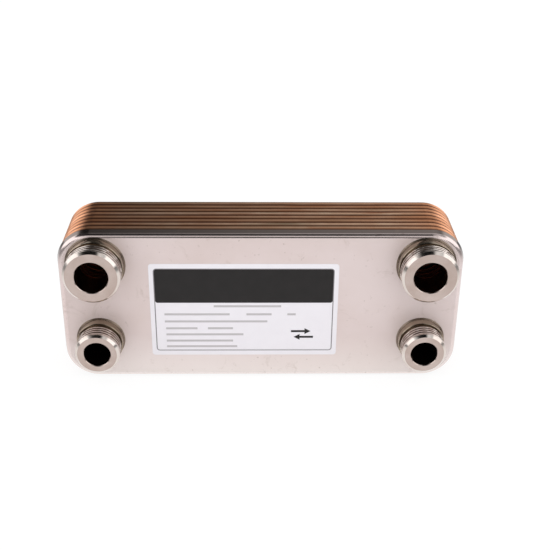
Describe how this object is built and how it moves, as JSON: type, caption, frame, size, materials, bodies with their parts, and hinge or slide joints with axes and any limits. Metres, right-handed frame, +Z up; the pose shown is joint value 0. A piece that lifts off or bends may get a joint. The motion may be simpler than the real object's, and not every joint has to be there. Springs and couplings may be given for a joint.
{
  "type": "plate heat exchanger",
  "caption": "Brazed plate heat exchanger: nested herringbone plates between covers, with threaded pipe nipples on the front and a bare label, for heating tap water in a boiler.",
  "frame": {"origin": "under the middle of the whole part, on the surface that it stands on by a long edge", "axes": "+X along the length, +Y from the nipples to the back cover, +Z up"},
  "size_m": [0.19, 0.0524, 0.078],
  "materials": {
    "cover_steel": "satin",
    "plate_steel": "copper-tinted by brazing",
    "nipple_steel": "turned",
    "braze_copper": "braze copper",
    "label_film": "printed film"
  },
  "bodies": {
    "root": {"front_cover": "cover_steel", "back_cover": "cover_steel", "channel_plate_01": "plate_steel", "channel_plate_02": "plate_steel", "channel_plate_03": "plate_steel", "channel_plate_04": "plate_steel", "channel_plate_05": "plate_steel", "channel_plate_06": "plate_steel", "channel_plate_07": "plate_steel", "channel_plate_08": "plate_steel", "channel_plate_09": "plate_steel", "channel_plate_10": "plate_steel", "channel_plate_11": "plate_steel", "channel_plate_12": "plate_steel", "channel_plate_13": "plate_steel", "channel_plate_14": "plate_steel", "channel_plate_15": "plate_steel", "channel_plate_16": "plate_steel", "braze_seam_01": "braze_copper", "braze_seam_02": "braze_copper", "braze_seam_03": "braze_copper", "braze_seam_04": "braze_copper", "braze_seam_05": "braze_copper", "braze_seam_06": "braze_copper", "braze_seam_07": "braze_copper", "braze_seam_08": "braze_copper", "braze_seam_09": "braze_copper", "braze_seam_10": "braze_copper", "braze_seam_11": "braze_copper", "braze_seam_12": "braze_copper", "braze_seam_13": "braze_copper", "braze_seam_14": "braze_copper", "braze_seam_15": "braze_copper", "braze_seam_16": "braze_copper", "braze_seam_17": "braze_copper", "heating_flow_nipple": "nipple_steel", "heating_return_nipple": "nipple_steel", "hot_water_nipple": "nipple_steel", "cold_water_nipple": "nipple_steel", "heating_flow_braze_ring": "braze_copper", "heating_return_braze_ring": "braze_copper", "hot_water_braze_ring": "braze_copper", "cold_water_braze_ring": "braze_copper", "left_seal_ring": "plate_steel", "right_seal_ring": "plate_steel", "label": "label_film"}
  },
  "joints": []
}
